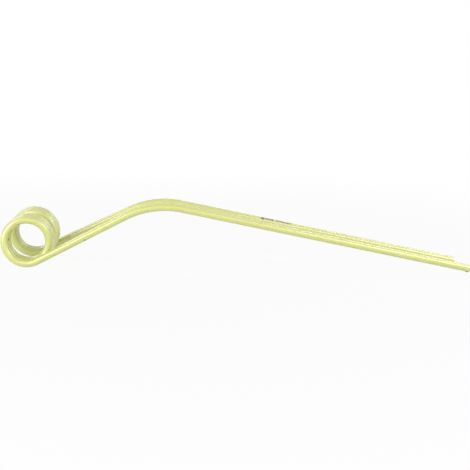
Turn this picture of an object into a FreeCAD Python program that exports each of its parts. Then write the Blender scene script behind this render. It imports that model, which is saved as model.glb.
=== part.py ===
import FreeCAD, Part
import math
import os

# Double spring tine for a rotary rake, bent from one length of round spring wire.
# Millimetres. X runs from the coils to the prong tips, Y across the two prongs, Z up.
# The origin is on the coil axis, midway between the two prongs.
# Each prong leaves the underside of its own coil, climbs, bends over a knee and runs down to its tip.
# The two coils are wound as mirror images, and a short loop of the same wire joins them.

# Wire
WIRE_D = 9.5
TIP_ROUND = 0.9

# Coils
COIL_MEAN_R = 27.25
COIL_PITCH = 10.4
COIL_TURNS = 2.88
LEAD_IN_TURNS = 0.10
STEP_TURNS = 0.25

# Prongs
PRONG_SPACING = 88.0
FIRST_STRAIGHT = 124.0
KNEE_R = 108.0
PRONG_WIRE = 568.0
FRONT_RISE_DEG = 28.6
FRONT_KNEE_DEG = 38.9
REAR_RISE_DEG = 26.2
REAR_KNEE_DEG = 36.5

# Centre loop
LOOP_BEND_R = 11.0

V = FreeCAD.Vector
COIL_AXIS = V(0, 1, 0)


def arc_from(start, tangent, end):
    """Circular arc that leaves start along tangent and reaches end."""
    chord = end - start
    cos_half = chord.normalize().dot(tangent)
    chord = end - start
    reach = chord.Length / 2.0 / cos_half
    corner = start + tangent * reach
    half_way = (start + end) * 0.5
    crown = half_way + (corner - half_way) * (cos_half / (1.0 + cos_half))
    return Part.Arc(start, crown, end).toShape()


def arc_pair(start, start_dir, end, end_dir):
    """Two arcs that join two points and keep the wire's direction at both."""
    chord = end - start
    both = start_dir + end_dir
    lean = 2.0 * (1.0 - start_dir.dot(end_dir))
    along = chord.dot(both)
    reach = (math.sqrt(along * along + lean * chord.dot(chord)) - along) / lean
    middle = (start + end + (start_dir - end_dir) * reach) * 0.5
    first = arc_from(start, start_dir, middle)
    second = arc_from(end, end_dir * -1.0, middle)
    return [first, second]


def in_plane(angle_deg, side_y, radius=1.0):
    """Point at a polar angle round the coil axis, in the plane Y = side_y."""
    a = math.radians(angle_deg)
    return V(radius * math.cos(a), side_y, radius * math.sin(a))


def coil_point(rise, side, turn):
    """Wire centre on a coil, counted in turns from where the prong leaves it."""
    angle = rise - 90.0 - 360.0 * turn
    if turn < LEAD_IN_TURNS:
        advance = turn * turn / (2.0 * LEAD_IN_TURNS)
    else:
        advance = turn - LEAD_IN_TURNS / 2.0
    return in_plane(angle, side * (PRONG_SPACING / 2.0 - COIL_PITCH * advance), COIL_MEAN_R)


def coil_direction(rise, side, turn):
    """Wire direction on a coil, going away from the prong."""
    angle = math.radians(rise - 90.0 - 360.0 * turn)
    share = min(turn / LEAD_IN_TURNS, 1.0)
    lead = -side * COIL_PITCH * share / (2.0 * math.pi * COIL_MEAN_R)
    direction = V(math.sin(angle), lead, -math.cos(angle))
    return direction.normalize()


def prong_edges(rise, knee, side):
    """Tip to coil: long straight, knee, first straight."""
    y = side * PRONG_SPACING / 2.0
    out = in_plane(rise, 0.0)
    root = in_plane(rise - 90.0, y, COIL_MEAN_R)
    knee_start = root + out * FIRST_STRAIGHT
    knee_centre = knee_start + in_plane(rise - 90.0, 0.0, KNEE_R)
    knee_mid = knee_centre + in_plane(rise - knee / 2.0 + 90.0, 0.0, KNEE_R)
    knee_end = knee_centre + in_plane(rise - knee + 90.0, 0.0, KNEE_R)
    last = PRONG_WIRE - FIRST_STRAIGHT - KNEE_R * math.radians(knee)
    tip = knee_end + in_plane(rise - knee, 0.0) * last
    edges = [
        Part.LineSegment(tip, knee_end).toShape(),
        Part.Arc(knee_end, knee_mid, knee_start).toShape(),
        Part.LineSegment(knee_start, root).toShape(),
    ]
    return edges, tip, in_plane(rise - knee, 0.0)


def coil_edges(rise, side, turns):
    """The coil as a chain of short arcs, from the prong's root to the loop."""
    stations = [0.0, LEAD_IN_TURNS]
    while stations[-1] + STEP_TURNS * 1.5 < turns:
        stations.append(stations[-1] + STEP_TURNS)
    stations.append(turns)
    edges = []
    for start, end in zip(stations[:-1], stations[1:]):
        edges += arc_pair(
            coil_point(rise, side, start),
            coil_direction(rise, side, start),
            coil_point(rise, side, end),
            coil_direction(rise, side, end),
        )
    return edges


def loop_bend(rise, side, turns):
    """Bend that turns the wire from the end of a coil to run along the coil axis."""
    start = coil_point(rise, side, turns)
    direction = coil_direction(rise, side, turns)
    across = COIL_AXIS * -side
    inward = (across - direction * across.dot(direction)).normalize()
    centre = start + inward * LOOP_BEND_R
    outward = (direction - across * direction.dot(across)).normalize()
    end = centre + outward * LOOP_BEND_R
    return arc_from(start, direction, end), end


# Both coils end at the same angle, so the loop's bar runs straight across.
rear_turns = COIL_TURNS + (REAR_RISE_DEG - FRONT_RISE_DEG) / 360.0

front_prong, front_tip, front_dir = prong_edges(FRONT_RISE_DEG, FRONT_KNEE_DEG, -1.0)
rear_prong, rear_tip, rear_dir = prong_edges(REAR_RISE_DEG, REAR_KNEE_DEG, 1.0)
front_bend, bar_front = loop_bend(FRONT_RISE_DEG, -1.0, COIL_TURNS)
rear_bend, bar_rear = loop_bend(REAR_RISE_DEG, 1.0, rear_turns)

centre_edges = front_prong
centre_edges += coil_edges(FRONT_RISE_DEG, -1.0, COIL_TURNS)
centre_edges += [front_bend, Part.LineSegment(bar_front, bar_rear).toShape(), rear_bend]
centre_edges += coil_edges(REAR_RISE_DEG, 1.0, rear_turns)[::-1]
centre_edges += rear_prong[::-1]
centre_line = Part.Wire(Part.__sortEdges__(centre_edges))

# The round section follows the centre line from tip to tip.
ring = Part.Wire(Part.makeCircle(WIRE_D / 2.0, front_tip, front_dir))
tine = centre_line.makePipe(Part.Face(ring))
if tine.ShapeType != "Solid":
    tine = tine.Solids[0]

# Sheared ends with the sharp edge taken off.
tip_edges = []
for edge in tine.Edges:
    for tip in (front_tip, rear_tip):
        if edge.Closed and edge.CenterOfMass.distanceToPoint(tip) < WIRE_D / 100.0:
            tip_edges.append(edge)
tine = tine.makeFillet(TIP_ROUND, tip_edges)
if tine.ShapeType != "Solid":
    tine = tine.Solids[0]

os.makedirs("parts", exist_ok=True)
tine.exportStep("parts/tine.step")

section = math.pi * WIRE_D * WIRE_D / 4.0
box = tine.BoundBox
print("valid", tine.isValid(), "solids", len(tine.Solids), "faces", len(tine.Faces))
print("volume", round(tine.Volume), "section x length", round(section * centre_line.Length))
print("wire length", round(centre_line.Length, 1), "tip edges", len(tip_edges))
print("box", [round(v, 2) for v in (box.XMin, box.YMin, box.ZMin, box.XMax, box.YMax, box.ZMax)])
print("loop bar", [round(v, 2) for v in bar_front], [round(v, 2) for v in bar_rear])
print("tips", [round(v, 2) for v in front_tip], [round(v, 2) for v in rear_tip])
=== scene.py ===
import math

import bpy
from bpy.props import FloatProperty, FloatVectorProperty, IntProperty, PointerProperty
from mathutils import Matrix, Vector


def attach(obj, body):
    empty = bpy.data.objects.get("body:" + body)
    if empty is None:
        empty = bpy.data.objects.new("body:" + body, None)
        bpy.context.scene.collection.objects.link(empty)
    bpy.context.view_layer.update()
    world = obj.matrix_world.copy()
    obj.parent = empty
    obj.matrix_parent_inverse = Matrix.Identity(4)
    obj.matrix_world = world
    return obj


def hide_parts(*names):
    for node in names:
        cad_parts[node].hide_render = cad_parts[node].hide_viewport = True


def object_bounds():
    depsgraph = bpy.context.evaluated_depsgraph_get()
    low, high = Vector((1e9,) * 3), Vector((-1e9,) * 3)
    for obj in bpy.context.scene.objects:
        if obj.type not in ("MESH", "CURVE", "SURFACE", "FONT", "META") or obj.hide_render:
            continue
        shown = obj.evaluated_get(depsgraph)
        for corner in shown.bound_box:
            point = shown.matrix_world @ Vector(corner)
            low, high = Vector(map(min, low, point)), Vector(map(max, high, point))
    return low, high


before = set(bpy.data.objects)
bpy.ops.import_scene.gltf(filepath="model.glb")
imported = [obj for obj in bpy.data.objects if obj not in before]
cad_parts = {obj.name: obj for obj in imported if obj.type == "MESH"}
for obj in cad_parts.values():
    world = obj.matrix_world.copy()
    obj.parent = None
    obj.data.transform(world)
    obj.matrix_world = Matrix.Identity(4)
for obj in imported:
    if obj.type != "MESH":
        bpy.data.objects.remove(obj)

bl_info = {
    "name": "Rotary rake tine",
    "version": (1, 0, 0),
    "blender": (4, 5, 0),
    "location": "View3D > Sidebar > Rake tine",
    "description": "Bends, paints and lights a double spring tine for a rotary rake",
    "category": "Add Mesh",
}

NODE = "tine"
CAD_LOW, CAD_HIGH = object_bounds()
WIRE_DIAMETER = 0.0095
FRONT_RISE_DEG = 28.6
FRONT_KNEE_DEG = 38.9
REAR_RISE_DEG = 26.2
REAR_KNEE_DEG = 36.5


class TineWire(bpy.types.PropertyGroup):
    """Sizes of the one length of wire that the tine is bent from."""

    wire_diameter: FloatProperty(
        name="Wire diameter", description="Thickness of the spring wire",
        default=WIRE_DIAMETER, unit="LENGTH", precision=4)
    tip_round: FloatProperty(
        name="Tip rounding", description="Radius on the edge of each sheared end",
        default=0.0009, unit="LENGTH", precision=4)
    coil_radius: FloatProperty(
        name="Coil radius", description="From the coil axis to the middle of the wire",
        default=-CAD_LOW.x - WIRE_DIAMETER / 2, unit="LENGTH", precision=4)
    coil_pitch: FloatProperty(
        name="Coil pitch", description="Distance along the axis from one turn to the next",
        default=0.0104, unit="LENGTH", precision=4)
    coil_turns: FloatProperty(
        name="Coil turns", description="Turns in the front coil",
        default=2.88, precision=3)
    lead_in: FloatProperty(
        name="Lead in", description="Turns over which the wire leans into the pitch",
        default=0.10, precision=3)
    prong_spacing: FloatProperty(
        name="Prong spacing", description="Between the middles of the two prongs",
        default=CAD_HIGH.y - CAD_LOW.y - WIRE_DIAMETER, unit="LENGTH", precision=4)
    first_straight: FloatProperty(
        name="First straight", description="From the coil to the knee",
        default=0.124, unit="LENGTH", precision=4)
    knee_radius: FloatProperty(
        name="Knee radius", description="Bend of the knee, to the middle of the wire",
        default=0.108, unit="LENGTH", precision=4)
    prong_wire: FloatProperty(
        name="Prong wire", description="Length of wire in each prong",
        default=0.568, unit="LENGTH", precision=4)
    front_rise: FloatProperty(
        name="Front rise", description="Angle at which the front prong leaves its coil",
        default=math.radians(FRONT_RISE_DEG), unit="ROTATION")
    front_knee: FloatProperty(
        name="Front knee", description="Angle that the front prong turns through at its knee",
        default=math.radians(FRONT_KNEE_DEG), unit="ROTATION")
    rear_rise: FloatProperty(
        name="Rear rise", description="Angle at which the rear prong leaves its coil",
        default=math.radians(REAR_RISE_DEG), unit="ROTATION")
    rear_knee: FloatProperty(
        name="Rear knee", description="Angle that the rear prong turns through at its knee",
        default=math.radians(REAR_KNEE_DEG), unit="ROTATION")
    loop_radius: FloatProperty(
        name="Loop radius", description="Bends of the loop between the coils",
        default=0.011, unit="LENGTH", precision=4)
    ring_step: FloatProperty(
        name="Ring step", description="Distance between the mesh rings along the wire",
        default=0.0013, unit="LENGTH", precision=4)
    sides: IntProperty(
        name="Sides", description="Faces round the wire", default=44, min=8)
    bend_steps: IntProperty(
        name="Bend steps", description="Pieces of line in each knee and each bend of the loop",
        default=48, min=4)
    turn_steps: IntProperty(
        name="Turn steps", description="Pieces of line in each turn of a coil",
        default=120, min=12)


class TinePaint(bpy.types.PropertyGroup):
    """Colours and marks of the paint."""

    colour: FloatVectorProperty(
        name="Paint", description="Pale yellow-green gloss paint", subtype="COLOR",
        size=3, min=0, max=1, default=(0.700, 0.725, 0.205))
    # This colour also paints shade on the underside of the wire, through the paint film's
    # facing-down share.
    thick_colour: FloatVectorProperty(
        name="Thick paint", description="Paint where the film has run thick", subtype="COLOR",
        size=3, min=0, max=1, default=(0.620, 0.655, 0.130))
    # This paler colour also paints a highlight on the sheared ends.
    thin_colour: FloatVectorProperty(
        name="Thin paint", description="Paint on the edges of the sheared ends", subtype="COLOR",
        size=3, min=0, max=1, default=(0.80, 0.80, 0.55))
    grime_colour: FloatVectorProperty(
        name="Grime", description="Nicks, specks and the drip at the front tip", subtype="COLOR",
        size=3, min=0, max=1, default=(0.060, 0.065, 0.015))
    ink_colour: FloatVectorProperty(
        name="Ink", description="Plain printed strokes on the rear prong", subtype="COLOR",
        size=3, min=0, max=1, default=(0.03, 0.032, 0.015))
    roughness: FloatProperty(
        name="Roughness", description="Roughness of the paint film",
        default=0.32, min=0, max=1, subtype="FACTOR")
    coat_roughness: FloatProperty(
        name="Gloss roughness", description="Roughness of the gloss over the paint film",
        default=0.30, min=0, max=1, subtype="FACTOR")
    cloud_size: FloatProperty(
        name="Cloud size", description="Width of the areas where the film is thicker or thinner",
        default=0.030, unit="LENGTH", precision=4)
    peel_size: FloatProperty(
        name="Peel size", description="Width of the dimples of the orange peel",
        default=0.0016, unit="LENGTH", precision=4)
    print_start: FloatProperty(
        name="Print start",
        description="From the rear tip to the nearer end of the printed strokes",
        default=0.2272, unit="LENGTH", precision=4)
    print_length: FloatProperty(
        name="Print length", description="Length of the row of printed strokes",
        default=0.0363, unit="LENGTH", precision=4)
    stroke_height: FloatProperty(
        name="Stroke height", description="Height of the printed strokes, across the wire",
        default=0.0040, unit="LENGTH", precision=4)
    stroke_pitch: FloatProperty(
        name="Stroke pitch", description="From one printed stroke to the next",
        default=0.0019, unit="LENGTH", precision=4)
    drip_place: FloatProperty(
        name="Drip place", description="From the front tip back to the middle of the drip",
        default=0.0044, unit="LENGTH", precision=4)
    drip_size: FloatProperty(
        name="Drip size", description="How far the drip reaches round its middle",
        default=0.0030, unit="LENGTH", precision=4)
    drip_depth: FloatProperty(
        name="Drip depth", description="How far the drip hangs below the wire",
        default=0.0008, unit="LENGTH", precision=4)


class TineStage(bpy.types.PropertyGroup):
    """Floor, lights and camera."""

    floor_colour: FloatVectorProperty(
        name="Floor", description="Colour of the floor", subtype="COLOR",
        size=3, min=0, max=1, default=(0.80, 0.80, 0.80))
    floor_white: FloatProperty(
        name="Floor white", description="Share of plain white in the floor under the tine",
        default=0.93, min=0, max=1, subtype="FACTOR")
    sky: FloatProperty(
        name="Sky", description="Strength of the light from all round", default=0.06, min=0)
    lamp_level: FloatProperty(
        name="Softboxes", description="Brightness of all the softboxes together",
        default=1.0, min=0)
    camera_aim: FloatVectorProperty(
        name="Aim", description="Point at the middle of the picture", size=3,
        subtype="TRANSLATION", unit="LENGTH", default=(0.26094, 0.0, 0.00775))
    camera_distance: FloatProperty(
        name="Distance", description="From the aim to the camera", default=1.3485, unit="LENGTH")
    camera_turn: FloatProperty(
        name="Turn", description="Turn of the view about the vertical",
        default=math.radians(2.1727), unit="ROTATION")
    camera_height: FloatProperty(
        name="Height angle", description="Angle at which the camera looks down",
        default=math.radians(10.4864), unit="ROTATION")
    camera_roll: FloatProperty(
        name="Roll", description="Roll of the camera",
        default=math.radians(1.8892), unit="ROTATION")
    camera_lens: FloatProperty(
        name="Lens", description="Focal length in millimetres on a 36 mm sensor", default=80.06)


class Bench:
    """Adds nodes to a tree, column by column, and joins their sockets."""

    ROWS = 6
    COLUMN_WIDTH = 200
    ROW_HEIGHT = 180

    def __init__(self, tree):
        self.tree = tree
        self.place = 0

    def feed(self, socket, value):
        if isinstance(value, bpy.types.NodeSocket):
            self.tree.links.new(value, socket)
        else:
            socket.default_value = value

    def add(self, kind, inputs=None, **settings):
        node = self.tree.nodes.new(kind)
        column, row = divmod(self.place, self.ROWS)
        node.location = (column * self.COLUMN_WIDTH, -row * self.ROW_HEIGHT)
        self.place += 1
        for name, value in settings.items():
            setattr(node, name, value)
        for key, value in (inputs or {}).items():
            self.feed(node.inputs[key], value)
        return node

    def math(self, operation, *terms):
        node = self.add("ShaderNodeMath", dict(enumerate(terms)), operation=operation)
        return node.outputs[0]

    def vector(self, operation, *terms):
        node = self.add("ShaderNodeVectorMath", dict(enumerate(terms)), operation=operation)
        single = operation in ("DOT_PRODUCT", "LENGTH", "DISTANCE")
        return node.outputs["Value" if single else "Vector"]

    def scaled(self, vector, factor):
        node = self.add("ShaderNodeVectorMath", {0: vector, "Scale": factor}, operation="SCALE")
        return node.outputs["Vector"]

    def point(self, x, y, z):
        return self.add("ShaderNodeCombineXYZ", {0: x, 1: y, 2: z}).outputs[0]

    def parts(self, vector):
        return self.add("ShaderNodeSeparateXYZ", {0: vector}).outputs

    def group(self, tree, inputs):
        kind = "GeometryNodeGroup" if tree.type == "GEOMETRY" else "ShaderNodeGroup"
        node = self.add(kind, node_tree=tree)
        for name, value in inputs.items():
            self.feed(node.inputs[name], value)
        return node.outputs


def new_tree(name, kind, inputs, outputs):
    """A node group with named sockets: its bench, its input sockets and its output node."""
    tree = bpy.data.node_groups.new(name, kind)
    for in_out, sockets in (("INPUT", inputs), ("OUTPUT", outputs)):
        for socket_name, socket_kind in sockets:
            tree.interface.new_socket(
                socket_name, in_out=in_out, socket_type="NodeSocket" + socket_kind)
    bench = Bench(tree)
    given = bench.add("NodeGroupInput").outputs
    result = bench.add("NodeGroupOutput")
    return bench, given, result.inputs


def ramp(b, value, low, high):
    """0 at low, 1 at high, smooth between and level beyond."""
    limits = {"Value": value, "From Min": low, "From Max": high}
    return b.add("ShaderNodeMapRange", limits, interpolation_type="SMOOTHSTEP").outputs[0]


COIL_SOCKETS = [
    ("Side", "Float"), ("Rise", "Float"), ("Turn", "Float"), ("Lead In", "Float"),
    ("Coil Radius", "Float"), ("Pitch", "Float"), ("Spacing", "Float")]


def coil_point_tree():
    """Place and direction of the wire after a number of turns from the prong."""
    outputs = [("Point", "Vector"), ("Run", "Vector")]
    b, given, result = new_tree("Coil point", "GeometryNodeTree", COIL_SOCKETS, outputs)
    turned = b.math("MULTIPLY", given["Turn"], 2 * math.pi)
    angle = b.math("SUBTRACT", b.math("SUBTRACT", given["Rise"], math.pi / 2), turned)
    leaning = b.math("MINIMUM", given["Turn"], given["Lead In"])
    share = b.math("DIVIDE", leaning, given["Lead In"])
    lead_in_part = b.math("MULTIPLY", b.math("MULTIPLY", leaning, share), 0.5)
    advance = b.math("ADD", lead_in_part, b.math("SUBTRACT", given["Turn"], leaning))
    inward = b.math("MULTIPLY", given["Pitch"], advance)
    beside = b.math("SUBTRACT", b.math("MULTIPLY", given["Spacing"], 0.5), inward)
    cosine = b.math("COSINE", angle)
    sine = b.math("SINE", angle)
    point = b.point(
        b.math("MULTIPLY", given["Coil Radius"], cosine),
        b.math("MULTIPLY", given["Side"], beside),
        b.math("MULTIPLY", given["Coil Radius"], sine))
    slope = b.math("DIVIDE", given["Pitch"], b.math("MULTIPLY", given["Coil Radius"], 2 * math.pi))
    towards_middle = b.math("MULTIPLY", given["Side"], -1.0)
    lead = b.math("MULTIPLY", b.math("MULTIPLY", slope, share), towards_middle)
    run = b.vector("NORMALIZE", b.point(sine, lead, b.math("MULTIPLY", cosine, -1.0)))
    b.feed(result["Point"], point)
    b.feed(result["Run"], run)
    return b.tree


def coil_line_tree(coil_point):
    """The middle line of a coil, as points worked out turn by turn."""
    inputs = COIL_SOCKETS + [("Points per Turn", "Int"), ("Loop Radius", "Float")]
    outputs = [("Line", "Geometry"), ("End", "Vector"), ("Loop Corner", "Vector")]
    b, given, result = new_tree("Coil line", "GeometryNodeTree", inputs, outputs)
    sizes = {name: given[name] for name, _ in COIL_SOCKETS}
    steps = b.math("ROUND", b.math("MULTIPLY", given["Turn"], given["Points per Turn"]))
    count = b.math("ADD", steps, 1.0)
    line = b.add("GeometryNodeMeshLine", {"Count": count})
    index = b.add("GeometryNodeInputIndex").outputs[0]
    turn = b.math("MULTIPLY", b.math("DIVIDE", index, steps), given["Turn"])
    place = b.group(coil_point, {**sizes, "Turn": turn})["Point"]
    moved = b.add("GeometryNodeSetPosition", {"Geometry": line.outputs["Mesh"], "Position": place})
    end = b.group(coil_point, sizes)
    across = b.point(0.0, b.math("MULTIPLY", given["Side"], -1.0), 0.0)
    cosine = b.vector("DOT_PRODUCT", end["Run"], across)
    half_tangent = b.math("SQRT", b.math(
        "DIVIDE", b.math("SUBTRACT", 1.0, cosine), b.math("ADD", 1.0, cosine)))
    reach = b.math("MULTIPLY", given["Loop Radius"], half_tangent)
    corner = b.vector("ADD", end["Point"], b.scaled(end["Run"], reach))
    b.feed(result["Line"], moved.outputs[0])
    b.feed(result["End"], end["Point"])
    b.feed(result["Loop Corner"], corner)
    return b.tree


def filleted(b, corners, radius, steps):
    """A line through corners, rounded at each inner one."""
    line = b.add("GeometryNodeMeshLine", {"Count": len(corners)})
    index = b.add("GeometryNodeInputIndex").outputs[0]
    choice = b.add("GeometryNodeIndexSwitch", data_type="VECTOR")
    while len(choice.index_switch_items) < len(corners):
        choice.index_switch_items.new()
    b.feed(choice.inputs["Index"], index)
    for number, corner in enumerate(corners):
        b.feed(choice.inputs[str(number)], corner)
    moved = b.add("GeometryNodeSetPosition", {
        "Geometry": line.outputs["Mesh"], "Position": choice.outputs[0]})
    curve = b.add("GeometryNodeMeshToCurve", {"Mesh": moved.outputs[0]})
    bent = b.add("GeometryNodeFilletCurve", {
        "Curve": curve.outputs[0], "Count": steps, "Radius": radius}, mode="POLY")
    edges = b.add("GeometryNodeCurveToMesh", {"Curve": bent.outputs[0]})
    return edges.outputs["Mesh"]


def prong_line_tree():
    """The middle line of a prong: long straight, knee and first straight."""
    inputs = [
        ("Side", "Float"), ("Rise", "Float"), ("Knee", "Float"), ("Coil Radius", "Float"),
        ("Spacing", "Float"), ("First Straight", "Float"), ("Knee Radius", "Float"),
        ("Prong Wire", "Float"), ("Bend Steps", "Int")]
    outputs = [("Line", "Geometry"), ("Tip", "Vector"), ("Run", "Vector")]
    b, given, result = new_tree("Prong line", "GeometryNodeTree", inputs, outputs)
    beside = b.math("MULTIPLY", given["Side"], b.math("MULTIPLY", given["Spacing"], 0.5))
    sine = b.math("SINE", given["Rise"])
    cosine = b.math("COSINE", given["Rise"])
    root = b.point(
        b.math("MULTIPLY", given["Coil Radius"], sine), beside,
        b.math("MULTIPLY", given["Coil Radius"], b.math("MULTIPLY", cosine, -1.0)))
    climb = b.point(cosine, 0.0, sine)
    fall = b.math("SUBTRACT", given["Rise"], given["Knee"])
    run = b.point(b.math("COSINE", fall), 0.0, b.math("SINE", fall))
    half_tangent = b.math("TANGENT", b.math("MULTIPLY", given["Knee"], 0.5))
    reach = b.math("MULTIPLY", given["Knee Radius"], half_tangent)
    corner = b.vector("ADD", root, b.scaled(climb, b.math("ADD", given["First Straight"], reach)))
    knee_wire = b.math("MULTIPLY", given["Knee Radius"], given["Knee"])
    past_first = b.math("SUBTRACT", given["Prong Wire"], given["First Straight"])
    last = b.math("SUBTRACT", past_first, knee_wire)
    tip = b.vector("ADD", corner, b.scaled(run, b.math("ADD", last, reach)))
    line = filleted(b, [tip, corner, root], given["Knee Radius"], given["Bend Steps"])
    b.feed(result["Line"], line)
    b.feed(result["Tip"], tip)
    b.feed(result["Run"], run)
    return b.tree


# Rings on the rounding of each sheared end, and how far apart the ends of two joined lines may be.
TIP_RINGS = 6
JOIN_GAP = 0.00002
WIRE_INPUTS = [
    ("Geometry", "Geometry"), ("Wire Diameter", "Float"), ("Tip Rounding", "Float"),
    ("Coil Radius", "Float"), ("Pitch", "Float"), ("Turns", "Float"), ("Lead In", "Float"),
    ("Spacing", "Float"), ("First Straight", "Float"), ("Knee Radius", "Float"),
    ("Prong Wire", "Float"), ("Front Rise", "Float"), ("Front Knee", "Float"),
    ("Rear Rise", "Float"), ("Rear Knee", "Float"), ("Loop Radius", "Float"),
    ("Bend Steps", "Int"), ("Points per Turn", "Int"), ("Ring Step", "Float"),
    ("Sides", "Int"), ("Drip Place", "Float"), ("Drip Size", "Float"), ("Drip Depth", "Float"),
    ("Paint", "Material")]


def centre_line(b, given):
    """One curve from the front tip to the rear tip, and the front prong's tip and direction."""
    coil_line = coil_line_tree(coil_point_tree())
    prong_line = prong_line_tree()
    rise_gap = b.math("SUBTRACT", given["Rear Rise"], given["Front Rise"])
    rear_turns = b.math("ADD", given["Turns"], b.math("DIVIDE", rise_gap, 2 * math.pi))
    pieces = []
    ends = []
    prongs = []
    for side, name, turns in ((-1.0, "Front", given["Turns"]), (1.0, "Rear", rear_turns)):
        shared = {"Side": side, "Rise": given[name + " Rise"],
                  "Coil Radius": given["Coil Radius"], "Spacing": given["Spacing"]}
        prong = b.group(prong_line, {
            **shared, "Knee": given[name + " Knee"], "First Straight": given["First Straight"],
            "Knee Radius": given["Knee Radius"], "Prong Wire": given["Prong Wire"],
            "Bend Steps": given["Bend Steps"]})
        coil = b.group(coil_line, {
            **shared, "Turn": turns, "Lead In": given["Lead In"], "Pitch": given["Pitch"],
            "Points per Turn": given["Points per Turn"], "Loop Radius": given["Loop Radius"]})
        pieces += [prong["Line"], coil["Line"]]
        ends.append(coil)
        prongs.append(prong)
    front, rear = ends
    corners = [front["End"], front["Loop Corner"], rear["Loop Corner"], rear["End"]]
    pieces.append(filleted(b, corners, given["Loop Radius"], given["Bend Steps"]))
    joined = b.add("GeometryNodeJoinGeometry")
    for piece in pieces:
        b.tree.links.new(piece, joined.inputs[0])
    merged = b.add("GeometryNodeMergeByDistance", {
        "Geometry": joined.outputs[0], "Distance": JOIN_GAP})
    curve = b.add("GeometryNodeMeshToCurve", {"Mesh": merged.outputs[0]}).outputs[0]
    start = b.add("GeometryNodeSampleCurve", {"Curves": curve, "Factor": 0.0}, mode="FACTOR")
    at_rear = b.math("GREATER_THAN", b.parts(start.outputs["Position"])["Y"], 0.0)
    turned_round = b.add("GeometryNodeReverseCurve", {"Curve": curve})
    chosen = b.add("GeometryNodeSwitch", {
        "Switch": at_rear, "False": curve, "True": turned_round.outputs[0]},
        input_type="GEOMETRY")
    return chosen.outputs[0], prongs[0]


def ring_places(b, length, rounding, step):
    """How many rings the wire gets, how far along each is, and how much narrower than the wire.

    The first and last few rings follow the rounding of the sheared ends, and the others are
    evenly spaced.
    """
    middle = b.math("ROUND", b.math("DIVIDE", length, step))
    count = b.math("ADD", middle, 2.0 * TIP_RINGS + 1.0)
    index = b.add("GeometryNodeInputIndex").outputs[0]
    other = b.math("SUBTRACT", b.math("SUBTRACT", count, 1.0), index)
    nearer = b.math("MINIMUM", b.math("MINIMUM", index, other), float(TIP_RINGS))
    angle = b.math("MULTIPLY", nearer, math.pi / 2 / TIP_RINGS)
    into_tip = b.math("MULTIPLY", rounding, b.math("SUBTRACT", 1.0, b.math("COSINE", angle)))
    shrink = b.math("MULTIPLY", rounding, b.math("SUBTRACT", 1.0, b.math("SINE", angle)))
    share = b.math("DIVIDE", b.math("SUBTRACT", index, float(TIP_RINGS)), middle)
    share = b.add("ShaderNodeClamp", {"Value": share}).outputs[0]
    both_tips = b.math("MULTIPLY", rounding, 2.0)
    straight = b.math("MULTIPLY", b.math("SUBTRACT", length, both_tips), share)
    far_half = b.math("GREATER_THAN", index, other)
    near_part = b.math("MULTIPLY", into_tip, b.math("SUBTRACT", 1.0, far_half))
    far_part = b.math("MULTIPLY", b.math("SUBTRACT", both_tips, into_tip), far_half)
    along = b.math("ADD", straight, b.math("ADD", near_part, far_part))
    return count, along, shrink


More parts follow.
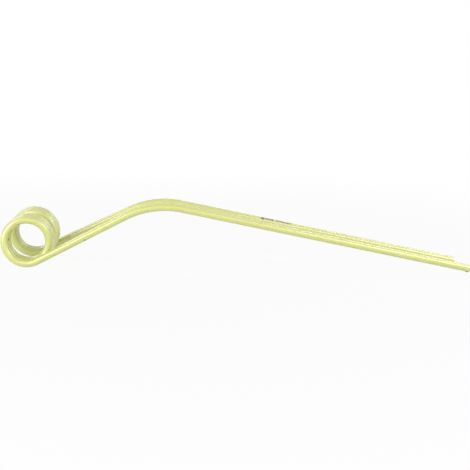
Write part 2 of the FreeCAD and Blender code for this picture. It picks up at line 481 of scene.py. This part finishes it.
def bent_wire_tree():
    """The whole tine: centre line, rings, wire surface, drip and paint."""
    outputs = [("Geometry", "Geometry")]
    b, given, result = new_tree("Bent wire tine", "GeometryNodeTree", WIRE_INPUTS, outputs)
    path, front_prong = centre_line(b, given)
    length = b.add("GeometryNodeCurveLength", {"Curve": path}).outputs[0]
    count, along, shrink = ring_places(b, length, given["Tip Rounding"], given["Ring Step"])
    on_path = b.add("GeometryNodeSampleCurve", {"Curves": path, "Length": along}, mode="LENGTH")
    line = b.add("GeometryNodeMeshLine", {"Count": count})
    moved = b.add("GeometryNodeSetPosition", {
        "Geometry": line.outputs["Mesh"], "Position": on_path.outputs["Position"]})
    from_tip = b.math("MINIMUM", along, b.math("SUBTRACT", length, along))
    marked = b.add("GeometryNodeStoreNamedAttribute", {
        "Geometry": moved.outputs[0], "Name": "from_tip", "Value": from_tip})
    centred = b.add("GeometryNodeStoreNamedAttribute", {
        "Geometry": marked.outputs[0], "Name": "wire_centre",
        "Value": b.add("GeometryNodeInputPosition").outputs[0]}, data_type="FLOAT_VECTOR")
    rail = b.add("GeometryNodeMeshToCurve", {"Mesh": centred.outputs[0]})
    radius = b.math("MULTIPLY", given["Wire Diameter"], 0.5)
    ring = b.add("GeometryNodeCurvePrimitiveCircle", {"Resolution": given["Sides"], "Radius": 1.0})
    skin = b.add("GeometryNodeCurveToMesh", {
        "Curve": rail.outputs[0], "Profile Curve": ring.outputs["Curve"],
        "Scale": b.math("SUBTRACT", radius, shrink), "Fill Caps": True})

    # The drip of paint that hung at the front tip while it dried.
    here = b.add("GeometryNodeInputPosition").outputs[0]
    back_from_tip = b.scaled(front_prong["Run"], given["Drip Place"])
    in_wire = b.vector("SUBTRACT", front_prong["Tip"], back_from_tip)
    drip = b.vector("SUBTRACT", in_wire, b.point(0.0, 0.0, radius))
    near = b.math("DIVIDE", b.vector("DISTANCE", here, drip), given["Drip Size"])
    swell = ramp(b, near, 1.0, 0.0)
    down = b.math("MULTIPLY", b.math("MULTIPLY", swell, given["Drip Depth"]), -1.0)
    dripped = b.add("GeometryNodeSetPosition", {
        "Geometry": skin.outputs["Mesh"], "Offset": b.point(0.0, 0.0, down)})

    # Where a point lies on the wire: metres from the nearer tip, then across and up in radii.
    centre = b.add(
        "GeometryNodeInputNamedAttribute", {"Name": "wire_centre"}, data_type="FLOAT_VECTOR")
    tip_run = b.add("GeometryNodeInputNamedAttribute", {"Name": "from_tip"}, data_type="FLOAT")
    offset = b.vector("SUBTRACT", b.add("GeometryNodeInputPosition").outputs[0], centre.outputs[0])
    round_wire = b.parts(b.scaled(offset, b.math("DIVIDE", 1.0, radius)))
    placed = b.add("GeometryNodeStoreNamedAttribute", {
        "Geometry": dripped.outputs[0], "Name": "wire_place",
        "Value": b.point(tip_run.outputs[0], round_wire["Y"], round_wire["Z"])},
        data_type="FLOAT_VECTOR")
    smooth = b.add("GeometryNodeSetShadeSmooth", {
        "Geometry": placed.outputs[0], "Shade Smooth": True})
    real = b.add("GeometryNodeRealizeInstances", {"Geometry": smooth.outputs[0]})
    painted = b.add("GeometryNodeSetMaterial", {
        "Geometry": real.outputs[0], "Material": given["Paint"]})
    b.feed(result["Geometry"], painted.outputs[0])
    return b.tree


def set_inputs(modifier, values):
    """Sets a modifier's inputs by the names of the tree's sockets."""
    for socket in modifier.node_group.interface.items_tree:
        if socket.in_out == "INPUT" and socket.name in values:
            modifier[socket.identifier] = values.pop(socket.name)
    if values:
        raise RuntimeError(f"the tree has no input named {sorted(values)}")


def plain_mesh(name, tree, values):
    """Evaluates the tree on an empty mesh and keeps the result as a plain mesh object."""
    seed = bpy.data.objects.new(name + "_seed", bpy.data.meshes.new(name + "_seed"))
    bpy.context.scene.collection.objects.link(seed)
    modifier = seed.modifiers.new(name, "NODES")
    modifier.node_group = tree
    set_inputs(modifier, values)
    bpy.context.view_layer.update()
    graph = bpy.context.evaluated_depsgraph_get()
    mesh = bpy.data.meshes.new_from_object(seed.evaluated_get(graph), depsgraph=graph)
    mesh.name = name
    for helper in ("wire_centre", "from_tip"):
        if helper in mesh.attributes:
            mesh.attributes.remove(mesh.attributes[helper])
    old = seed.data
    bpy.data.objects.remove(seed)
    bpy.data.meshes.remove(old)
    made = bpy.data.objects.new(name, mesh)
    bpy.context.scene.collection.objects.link(made)
    return made


def noise(b, place, size, detail=2.0):
    """Noise from 0 to 1 with clouds of about the given width."""
    scale = b.math("DIVIDE", 1.0, size)
    values = {"Vector": place, "Scale": scale, "Detail": detail}
    return b.add("ShaderNodeTexNoise", values).outputs[0]


def mixed(b, factor, first, second):
    """A colour between two colours."""
    node = b.add("ShaderNodeMix", data_type="RGBA")
    for name, value in (("Factor_Float", factor), ("A_Color", first), ("B_Color", second)):
        socket = next(s for s in node.inputs if s.identifier == name)
        b.feed(socket, (*value, 1.0) if isinstance(value, tuple) else value)
    return next(s for s in node.outputs if s.identifier == "Result_Color")


def paint_film_tree():
    """How a sprayed film varies: thickness, with painted shade added on the underside, gloss,
    orange peel and the draw lines under it.
    """
    # Widths of the patches and of the dull areas, as shares of a cloud's.
    patch_width, dull_width = 0.22, 0.4
    # Width of the draw lines, as a share of a dimple's.
    line_width = 0.5
    # How much the patches, the painted shade on the underside and the dimples count.
    patch_share, underside_shade_share, peel_share = 0.35, 0.35, 0.35
    # The noise at which the film is at its thinnest and at its thickest.
    thinnest, thickest = 0.38, 0.68
    # How far the surface has to face down for the painted shade on the underside to start.
    shade_begins = 0.2
    inputs = [
        ("Place", "Vector"), ("Along Wire", "Vector"), ("Facing Down", "Float"),
        ("Cloud Size", "Float"), ("Peel Size", "Float")]
    outputs = [("Thickness", "Float"), ("Dullness", "Float"), ("Height", "Float")]
    b, given, result = new_tree("Paint film", "ShaderNodeTree", inputs, outputs)
    place = given["Place"]
    clouds = noise(b, place, given["Cloud Size"], detail=3.0)
    patches = noise(b, place, b.math("MULTIPLY", given["Cloud Size"], patch_width))
    sprayed = b.math(
        "ADD", b.math("MULTIPLY", clouds, 1.0 - patch_share),
        b.math("MULTIPLY", patches, patch_share))
    # Painted shade: surfaces that face down get more of the darker thick paint colour.
    run = b.math("MULTIPLY", ramp(b, given["Facing Down"], shade_begins, 1.0), underside_shade_share)
    b.feed(result["Thickness"], b.math("ADD", ramp(b, sprayed, thinnest, thickest), run))
    dull_size = b.math("MULTIPLY", given["Cloud Size"], dull_width)
    b.feed(result["Dullness"], noise(b, place, dull_size, detail=3.0))
    peel = noise(b, place, given["Peel Size"], detail=1.5)
    draw_lines = noise(b, given["Along Wire"], b.math("MULTIPLY", given["Peel Size"], line_width))
    b.feed(result["Height"], b.math("ADD", draw_lines, b.math("MULTIPLY", peel, peel_share)))
    return b.tree


def spot_tree():
    """A small round mark with an uneven edge."""
    # Shares of the radius at which the mark starts to fade and is gone.
    fades, gone = 0.72, 1.05
    inputs = [("Place", "Vector"), ("Centre", "Vector"), ("Radius", "Float"), ("Ragged", "Float")]
    b, given, result = new_tree("Spot", "ShaderNodeTree", inputs, [("Mask", "Float")])
    away = b.math("DIVIDE", b.vector("DISTANCE", given["Place"], given["Centre"]), given["Radius"])
    wander = b.math("SUBTRACT", noise(b, given["Place"], given["Radius"]), 0.5)
    edge = b.math("ADD", away, b.math("MULTIPLY", wander, given["Ragged"]))
    b.feed(result["Mask"], b.math("SUBTRACT", 1.0, ramp(b, edge, fades, gone)))
    return b.tree


def speck_tree():
    """Tiny specks of dust caught in the paint, few and far between."""
    # The share of the places that stay clean.
    clean = 0.55
    inputs = [("Place", "Vector"), ("Spacing", "Float"), ("Size", "Float")]
    b, given, result = new_tree("Dust specks", "ShaderNodeTree", inputs, [("Mask", "Float")])
    scale = b.math("DIVIDE", 1.0, given["Spacing"])
    cells = b.add("ShaderNodeTexVoronoi", {
        "Vector": given["Place"], "Scale": scale, "Randomness": 1.0}).outputs
    away = b.math("MULTIPLY", cells["Distance"], given["Spacing"])
    chance = b.add("ShaderNodeTexWhiteNoise", {"Vector": cells["Position"]}).outputs["Value"]
    size = b.math("MULTIPLY", given["Size"], ramp(b, chance, clean, 1.0))
    b.feed(result["Mask"], b.math("LESS_THAN", away, size))
    return b.tree


def print_strokes_tree():
    """A row of plain upright strokes that ends in a round dot, printed along the wire."""
    # Half a stroke's width, as a share of the pitch, and how much wider chance makes it.
    half_width, more_width = 0.34, 0.10
    # A stroke's height, as a share of the full height, and how much higher chance makes it.
    height_share, more_height = 0.7, 0.3
    # The dot's radius, as a share of half the height.
    dot_share = 1.15
    names = ("Along", "Across", "Length", "Height", "Stroke Pitch",
             "Gap Place", "Gap Width", "Dot Place", "Dot Lift")
    inputs = [(name, "Float") for name in names]
    b, given, result = new_tree("Print strokes", "ShaderNodeTree", inputs, [("Mask", "Float")])
    along = given["Along"]
    half = b.math("MULTIPLY", given["Height"], 0.5)
    count = b.math("DIVIDE", along, given["Stroke Pitch"])
    number = {"W": b.math("FLOOR", count)}
    chance = b.add("ShaderNodeTexWhiteNoise", number, noise_dimensions="1D").outputs["Value"]
    within = b.math("ABSOLUTE", b.math("SUBTRACT", b.math("FRACT", count), 0.5))
    width = b.math("ADD", b.math("MULTIPLY", chance, more_width), half_width)
    stroke = b.math("LESS_THAN", within, width)
    height = b.math("ADD", b.math("MULTIPLY", chance, more_height), height_share)
    reach = b.math("MULTIPLY", half, height)
    inside = b.math("LESS_THAN", b.math("ABSOLUTE", given["Across"]), reach)
    in_row = b.math(
        "MULTIPLY", b.math("GREATER_THAN", along, 0.0),
        b.math("LESS_THAN", along, given["Length"]))
    from_gap = b.math("ABSOLUTE", b.math("SUBTRACT", along, given["Gap Place"]))
    clear = b.math("GREATER_THAN", from_gap, b.math("MULTIPLY", given["Gap Width"], 0.5))
    row = b.math("MULTIPLY", b.math("MULTIPLY", stroke, inside), b.math("MULTIPLY", in_row, clear))
    beside = b.math("SUBTRACT", along, given["Dot Place"])
    above = b.math("SUBTRACT", given["Across"], given["Dot Lift"])
    away = b.vector("LENGTH", b.point(beside, above, 0.0))
    dot = b.math("LESS_THAN", away, b.math("MULTIPLY", half, dot_share))
    b.feed(result["Mask"], b.math("MAXIMUM", row, dot))
    return b.tree


# Light bending of the paint and of the gloss over it.
PAINT_IOR = 1.80
GLOSS_IOR = 1.60
# The draw lines are stretched along the wire: they take up this share of its length in the noise.
LINE_STRETCH = 0.03
# Strength of the relief, and its height in metres.
RELIEF_STRENGTH = 0.12
RELIEF_HEIGHT = 0.00002
# How far thick paint with its painted underside shade, thin paint with its painted highlight on the
# ends, and the dark marks take the colour over, and dust next to the other marks.
THICK_PAINT_AND_SHADE_SHARE = 0.30
THIN_PAINT_AND_HIGHLIGHT_SHARE = 0.80
DARK_MARK_SHARE = 0.92
DUST_SHARE = 0.45
# How much the roughness varies over the film, and how much rougher marks and ink are.
DULL_RANGE = 0.08
MARK_ROUGHNESS = 0.25
# Thin paint with a painted highlight on a sheared end, in metres from the tip: where the paler
# colour starts to give way and is gone.
# Its edge wanders in waves of the given width and depth.
PALE_END_START, PALE_END_STOP = 0.0010, 0.0045
WAVE_WIDTH, WAVE_DEPTH = 0.0015, 0.0012
# Metres between the places where a speck may sit, and the radius of the largest.
SPECK_SPACING = 0.009
SPECK_RADIUS = 0.00022
# The printed row: its turn from the top of the wire towards the camera's side, a gap in it and
# the dot after it, in metres from its start, and how far the dot sits off the row's middle.
PRINT_TURN = math.radians(30.0)
GAP_PLACE, GAP_WIDTH = 0.0219, 0.0030
DOT_PLACE, DOT_LIFT = 0.0388, 0.0006
# Wear of the ink: the width of its patches, and the noise at which ink is missing and is whole.
WEAR_WIDTH = 0.0006
WORN_OFF, WHOLE = 0.15, 0.4
# The ink's strength at the end of the row that is nearer the tip.
FAINT_INK = 0.75
# Marks on the paint, each with its place, its radius and how ragged its edge is:
# the dot inside the front coil, the nick under the front prong and a dark spot at the drip under
# the front tip.
MARKS = (
    ((-0.0233, -0.0333, 0.0007), 0.0018, 0.4),
    ((0.0734, -0.0472, 0.0050), 0.0016, 0.9),
    ((0.5532, -0.0457, -0.0236), 0.0024, 0.4),
)


def tine_paint_material(paint):
    """Gloss paint over the whole wire, with its marks and its printed strokes."""
    material = bpy.data.materials.new("tine_gloss_paint")
    material.use_nodes = True
    material.node_tree.nodes.clear()
    b = Bench(material.node_tree)
    place = b.add("ShaderNodeTexCoord").outputs["Object"]
    on_wire = b.parts(b.add("ShaderNodeAttribute", attribute_name="wire_place").outputs["Vector"])
    from_tip, toward_rear, upward = on_wire["X"], on_wire["Y"], on_wire["Z"]

    stretched = b.point(
        b.math("MULTIPLY", from_tip, LINE_STRETCH),
        b.math("MULTIPLY", toward_rear, WIRE_DIAMETER / 2),
        b.math("MULTIPLY", upward, WIRE_DIAMETER / 2))
    film = b.group(paint_film_tree(), {
        "Place": place, "Along Wire": stretched, "Facing Down": b.math("MULTIPLY", upward, -1.0),
        "Cloud Size": paint.cloud_size, "Peel Size": paint.peel_size})
    # Thick paint in patches, and painted shade where the wire faces down.
    thick = b.math("MULTIPLY", film["Thickness"], THICK_PAINT_AND_SHADE_SHARE)
    coat = mixed(b, thick, tuple(paint.colour), tuple(paint.thick_colour))

    # The film is thinner on the edge of each sheared end, and its paler colour there is also a
    # painted highlight.
    wave = b.math("MULTIPLY", noise(b, place, WAVE_WIDTH), WAVE_DEPTH)
    past_end = ramp(b, b.math("ADD", from_tip, wave), PALE_END_START, PALE_END_STOP)
    thin = b.math("MULTIPLY", b.math("SUBTRACT", 1.0, past_end), THIN_PAINT_AND_HIGHLIGHT_SHARE)
    coat = mixed(b, thin, coat, tuple(paint.thin_colour))

    # Specks and the larger marks.
    specks = b.group(speck_tree(), {
        "Place": place, "Spacing": SPECK_SPACING, "Size": SPECK_RADIUS})["Mask"]
    dark_marks = b.math("MULTIPLY", specks, DUST_SHARE)
    spot = spot_tree()
    for centre, radius, ragged in MARKS:
        mark = b.group(spot, {
            "Place": place, "Centre": centre, "Radius": radius, "Ragged": ragged})["Mask"]
        dark_marks = b.math("MAXIMUM", dark_marks, mark)
    coat = mixed(b, b.math("MULTIPLY", dark_marks, DARK_MARK_SHARE), coat, tuple(paint.grime_colour))

    # Strokes over the top of the rear prong, on its camera side; fainter towards the tip.
    angle = b.math("ARCTAN2", b.math("MULTIPLY", toward_rear, -1.0), upward)
    across = b.math("MULTIPLY", b.math("SUBTRACT", angle, PRINT_TURN), WIRE_DIAMETER / 2)
    along = b.math("SUBTRACT", from_tip, paint.print_start)
    strokes = b.group(print_strokes_tree(), {
        "Along": along, "Across": across, "Length": paint.print_length,
        "Height": paint.stroke_height, "Stroke Pitch": paint.stroke_pitch,
        "Gap Place": GAP_PLACE, "Gap Width": GAP_WIDTH,
        "Dot Place": DOT_PLACE, "Dot Lift": DOT_LIFT})["Mask"]
    on_rear = b.math("GREATER_THAN", b.parts(place)["Y"], 0.0)
    left = ramp(b, noise(b, place, WEAR_WIDTH), WORN_OFF, WHOLE)
    stronger = b.math("MULTIPLY", ramp(b, along, 0.0, paint.print_length), 1.0 - FAINT_INK)
    strength = b.math("MULTIPLY", left, b.math("ADD", stronger, FAINT_INK))
    ink = b.math("MULTIPLY", b.math("MULTIPLY", strokes, on_rear), strength)
    coat = mixed(b, ink, coat, tuple(paint.ink_colour))

    surface = b.add("ShaderNodeBsdfPrincipled")
    b.feed(surface.inputs["Base Color"], coat)
    b.feed(surface.inputs["IOR"], PAINT_IOR)
    b.feed(surface.inputs["Coat Weight"], 1.0)
    b.feed(surface.inputs["Coat IOR"], GLOSS_IOR)
    b.feed(surface.inputs["Coat Roughness"], paint.coat_roughness)
    dull = b.math("MULTIPLY", b.math("SUBTRACT", film["Dullness"], 0.5), DULL_RANGE)
    marked = b.math("MULTIPLY", b.math("MAXIMUM", dark_marks, ink), MARK_ROUGHNESS)
    rough = b.math("ADD", b.math("ADD", dull, marked), paint.roughness)
    b.feed(surface.inputs["Roughness"], rough)
    relief = b.add("ShaderNodeBump", {
        "Height": film["Height"], "Strength": RELIEF_STRENGTH, "Distance": RELIEF_HEIGHT})
    b.feed(surface.inputs["Normal"], relief.outputs[0])
    out = b.add("ShaderNodeOutputMaterial")
    b.feed(out.inputs["Surface"], surface.outputs[0])
    return material


LEAST_FACES = 1000


class TINE_OT_bend_wire(bpy.types.Operator):
    """Bends the wire into the tine and paints it"""

    bl_idname = "tine.bend_wire"
    bl_label = "Bend the wire"

    def execute(self, context):
        wire = context.scene.tine_wire
        paint = context.scene.tine_paint
        values = {
            "Wire Diameter": wire.wire_diameter, "Tip Rounding": wire.tip_round,
            "Coil Radius": wire.coil_radius, "Pitch": wire.coil_pitch, "Turns": wire.coil_turns,
            "Lead In": wire.lead_in, "Spacing": wire.prong_spacing,
            "First Straight": wire.first_straight, "Knee Radius": wire.knee_radius,
            "Prong Wire": wire.prong_wire, "Front Rise": wire.front_rise,
            "Front Knee": wire.front_knee, "Rear Rise": wire.rear_rise,
            "Rear Knee": wire.rear_knee, "Loop Radius": wire.loop_radius,
            "Bend Steps": wire.bend_steps, "Points per Turn": wire.turn_steps,
            "Ring Step": wire.ring_step, "Sides": wire.sides,
            "Drip Place": paint.drip_place, "Drip Size": paint.drip_size,
            "Drip Depth": paint.drip_depth, "Paint": tine_paint_material(paint)}
        tine = plain_mesh("painted_tine", bent_wire_tree(), values)
        if len(tine.data.polygons) < LEAST_FACES:
            raise RuntimeError("the wire came out without a surface")
        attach(tine, "root")
        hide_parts(NODE)
        return {"FINISHED"}


# Strip softboxes lie along one run of the prongs, at one distance, and give it the long highlights.
# A run has its middle, its slope, how far the strips stand towards the tips as a share of
# their distance, and the strips' length.
STRIP_DISTANCE = 1.15
CLIMB = math.radians(FRONT_RISE_DEG)
FALL = math.radians(FRONT_RISE_DEG - FRONT_KNEE_DEG)
RUNS = {
    "climb": ((0.08, 0.0, 0.03), CLIMB, -0.19, 0.44),
    "fall": ((0.42, 0.0, 0.0), FALL, 0.30, 0.70),
    "tips": ((0.52, 0.0, -0.02), FALL, 0.46, 0.50),
}
# Name, run, degrees round the wire from the camera's side up and over, width and brightness.
STRIPS = (
    ("climb_front_strip", "climb", 34, 0.05, 27.0),
    ("climb_top_strip", "climb", 110, 0.06, 24.0),
    ("fall_front_strip", "fall", 39, 0.09, 21.0),
    ("fall_top_strip", "fall", 114, 0.12, 10.0),
    ("tips_strip", "tips", 68, 0.36, 4.6),
)
# Wide softboxes of one size, all turned to the middle of the tine, fill from the sides and from
# behind: name, place, brightness.
WIDE_SIZE = (0.90, 0.60)
WIDE_AIM = (0.26, 0.0, 0.02)
WIDE_BOXES = (
    ("left_fill", (-0.80, -0.90, 0.20), 5.4),
    ("front_fill", (0.40, -1.60, 0.15), 1.1),
    ("back_fill", (0.26, 1.60, 0.20), 0.9),
    ("right_fill", (1.70, -0.30, 0.25), 1.4),
)
# The floor is a round plate. From FADE_START to FADE_STOP, in metres from its middle, the white
# that the camera sees takes the matt floor over.
FLOOR_RADIUS = 6.0
FLOOR_CORNERS = 96
FADE_START, FADE_STOP = 0.25, 1.1
SENSOR_WIDTH = 36.0


class TINE_OT_stage(bpy.types.Operator):
    """Adds the floor, the lights and the camera"""

    bl_idname = "tine.stage"
    bl_label = "Set the stage"

    def execute(self, context):
        stage = context.scene.tine_stage
        self.floor(stage)
        self.world(stage)
        self.lamps(stage)
        self.camera(stage)
        context.scene.view_settings.view_transform = "Standard"
        return {"FINISHED"}

    def floor(self, stage):
        bpy.ops.mesh.primitive_circle_add(
            vertices=FLOOR_CORNERS, radius=FLOOR_RADIUS, fill_type="NGON",
            location=(CAD_HIGH.x / 2, 0.0, CAD_LOW.z))
        floor = bpy.context.object
        floor.name = "floor"
        material = bpy.data.materials.new("pale_floor")
        material.cycles.emission_sampling = "NONE"
        material.use_nodes = True
        material.node_tree.nodes.clear()
        b = Bench(material.node_tree)
        matt = b.add("ShaderNodeBsdfDiffuse", {"Color": (*stage.floor_colour, 1.0)}).outputs[0]
        white = b.add("ShaderNodeEmission", {"Color": (1, 1, 1, 1), "Strength": 1.0}).outputs[0]
        place = b.add("ShaderNodeTexCoord").outputs["Object"]
        away = b.vector("LENGTH", place)
        limits = {"Value": away, "From Min": FADE_START, "From Max": FADE_STOP,
                  "To Min": stage.floor_white, "To Max": 1.0}
        fade = b.add("ShaderNodeMapRange", limits, interpolation_type="SMOOTHSTEP").outputs[0]
        share = b.math("MULTIPLY", fade, self.rays_that_see(b))
        shown = b.add("ShaderNodeMixShader", {0: share, 1: matt, 2: white})
        out = b.add("ShaderNodeOutputMaterial")
        b.feed(out.inputs["Surface"], shown.outputs[0])
        floor.data.materials.append(material)

    def rays_that_see(self, b):
        """1 for rays that see a background: the camera's, reflected ones and ones through glass."""
        rays = b.add("ShaderNodeLightPath").outputs
        return b.math("MAXIMUM", rays["Is Camera Ray"], b.math(
            "MAXIMUM", rays["Is Glossy Ray"], rays["Is Transmission Ray"]))

    def world(self, stage):
        world = bpy.data.worlds.new("studio")
        bpy.context.scene.world = world
        # The white that the camera sees lights nothing, so the lamps get all the light sampling.
        world.cycles.sampling_method = "NONE"
        world.use_nodes = True
        world.node_tree.nodes.clear()
        b = Bench(world.node_tree)
        seen = self.rays_that_see(b)
        level = b.add("ShaderNodeMix", {"Factor": seen, "A": stage.sky, "B": 1.0}).outputs[0]
        backdrop = b.add("ShaderNodeBackground", {"Color": (1, 1, 1, 1), "Strength": level})
        out = b.add("ShaderNodeOutputWorld")
        b.feed(out.inputs["Surface"], backdrop.outputs[0])

    def lamps(self, stage):
        for name, run, angle, width, brightness in STRIPS:
            middle, slope, lean, length = RUNS[run]
            along = Vector((math.cos(slope), 0.0, math.sin(slope)))
            above = Vector((-math.sin(slope), 0.0, math.cos(slope)))
            turned = math.radians(angle)
            out = above * math.sin(turned) - Vector((0.0, math.cos(turned), 0.0))
            away = along * lean + out * math.sqrt(1.0 - lean * lean)
            place = Vector(middle) + away * STRIP_DISTANCE
            level = brightness * stage.lamp_level
            self.softbox(name, place, away, along, (length, width), level)
        for name, place, brightness in WIDE_BOXES:
            away = Vector(place) - Vector(WIDE_AIM)
            across = Vector((0.0, 0.0, 1.0)).cross(away)
            self.softbox(name, place, away, across, WIDE_SIZE, brightness * stage.lamp_level)

    def softbox(self, name, place, away, along, size, brightness):
        """A plain lit rectangle that faces against away, its length along the given direction."""
        lamp = bpy.data.lights.new(name, "AREA")
        lamp.shape = "RECTANGLE"
        lamp.size, lamp.size_y = size
        lamp.energy = math.pi * size[0] * size[1] * brightness
        back = Vector(away).normalized()
        side = (along - back * along.dot(back)).normalized()
        facing = Matrix((side, back.cross(side), back)).transposed()
        softbox = bpy.data.objects.new(name, lamp)
        bpy.context.scene.collection.objects.link(softbox)
        softbox.matrix_world = Matrix.Translation(place) @ facing.to_4x4()

    def camera(self, stage):
        lens = bpy.data.cameras.new("camera")
        lens.sensor_width = SENSOR_WIDTH
        lens.lens = stage.camera_lens
        camera = bpy.data.objects.new("camera", lens)
        bpy.context.scene.collection.objects.link(camera)
        turn = Matrix.Rotation(-stage.camera_turn, 4, "Z")
        tilt = Matrix.Rotation(math.pi / 2 - stage.camera_height, 4, "X")
        roll = Matrix.Rotation(stage.camera_roll, 4, "Z")
        place = Vector(stage.camera_aim) + turn @ tilt @ Vector((0.0, 0.0, stage.camera_distance))
        camera.matrix_world = Matrix.Translation(place) @ turn @ tilt @ roll
        bpy.context.scene.camera = camera


class TINE_PT_panel(bpy.types.Panel):
    """Sizes, paint and stage of the rake tine"""

    bl_idname = "TINE_PT_panel"
    bl_label = "Rake tine"
    bl_space_type = "VIEW_3D"
    bl_region_type = "UI"
    bl_category = "Rake tine"

    def draw(self, context):
        layout = self.layout
        scene = context.scene
        for title, group, operator in (
                ("Wire", scene.tine_wire, "tine.bend_wire"),
                ("Paint", scene.tine_paint, None),
                ("Stage", scene.tine_stage, "tine.stage")):
            box = layout.box()
            box.label(text=title)
            for name in group.__annotations__:
                box.prop(group, name)
            if operator:
                box.operator(operator)


CLASSES = (TineWire, TinePaint, TineStage, TINE_OT_bend_wire, TINE_OT_stage, TINE_PT_panel)


def register():
    for cls in CLASSES:
        bpy.utils.register_class(cls)
    bpy.types.Scene.tine_wire = PointerProperty(type=TineWire)
    bpy.types.Scene.tine_paint = PointerProperty(type=TinePaint)
    bpy.types.Scene.tine_stage = PointerProperty(type=TineStage)


def unregister():
    del bpy.types.Scene.tine_stage
    del bpy.types.Scene.tine_paint
    del bpy.types.Scene.tine_wire
    for cls in reversed(CLASSES):
        bpy.utils.unregister_class(cls)


def main():
    register()
    bpy.ops.tine.bend_wire()
    bpy.ops.tine.stage()


if __name__ == "__main__":
    main()
